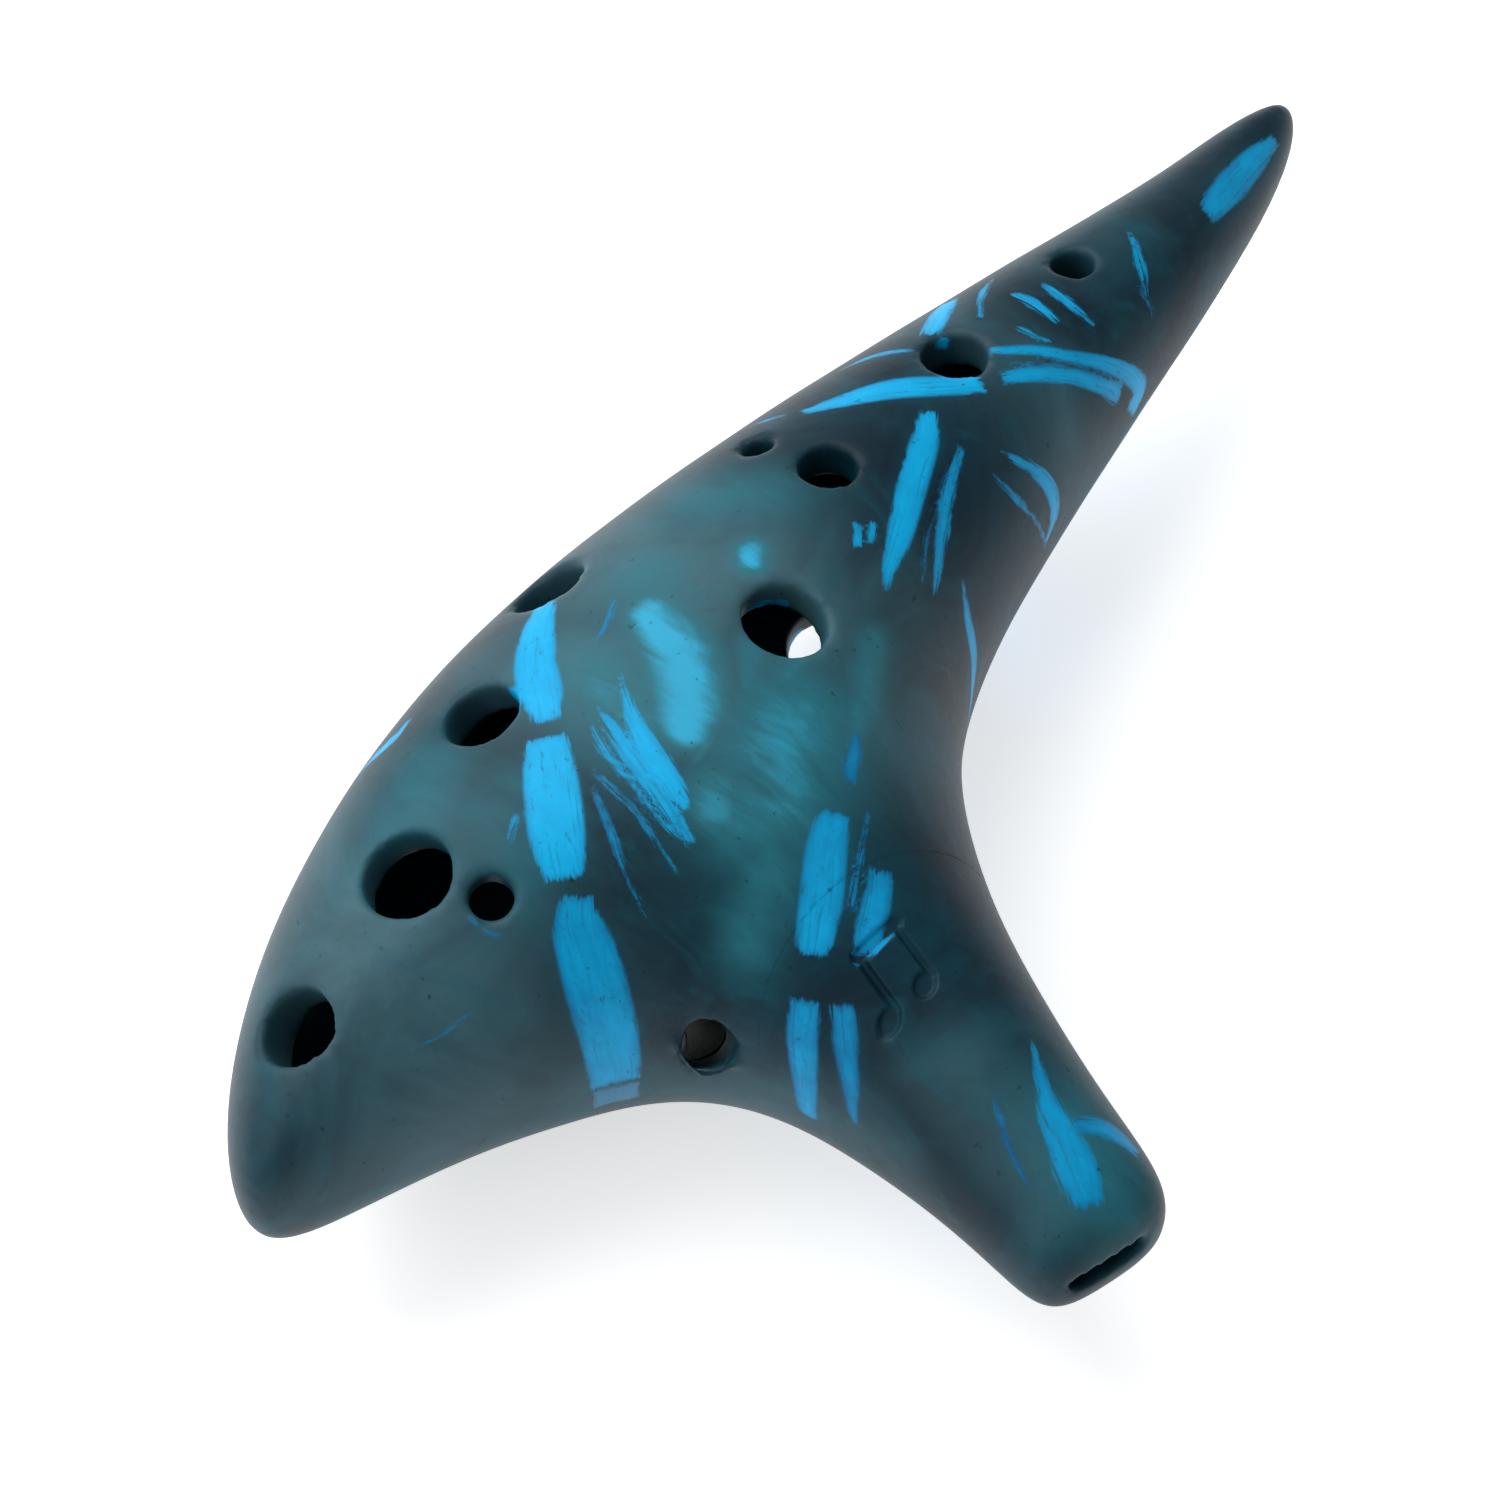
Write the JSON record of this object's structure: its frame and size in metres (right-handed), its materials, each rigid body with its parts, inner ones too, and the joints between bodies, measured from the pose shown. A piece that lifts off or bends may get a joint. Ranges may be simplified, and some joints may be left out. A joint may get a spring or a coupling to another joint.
{
  "type": "ocarina",
  "caption": "Transverse clay vessel flute: hollow pear-shaped body tapering to a tail, finger and thumb holes, and a side beak with a ducted windway, window and sounding edge.",
  "frame": {"origin": "middle of the bounding box in plan, on the surface that the back rests on", "axes": "+Z out of the finger-hole face, +X from the fat end to the tail, -Y towards the mouth end of the beak"},
  "size_m": [0.1882, 0.1, 0.046],
  "materials": {
    "glaze": "satin blue-black glaze with azure straw marks and grey-teal clouds",
    "bare_clay": "dark thinly glazed clay inside the chamber"
  },
  "bodies": {
    "root": {"front_shell": "glaze", "back_shell": "glaze", "seam_coil": "bare_clay", "beak_roof": "glaze", "beak_floor": "glaze", "windway_cheek_left": "glaze", "windway_cheek_right": "glaze", "labium": "glaze", "strap_lug": "bare_clay"}
  },
  "joints": []
}
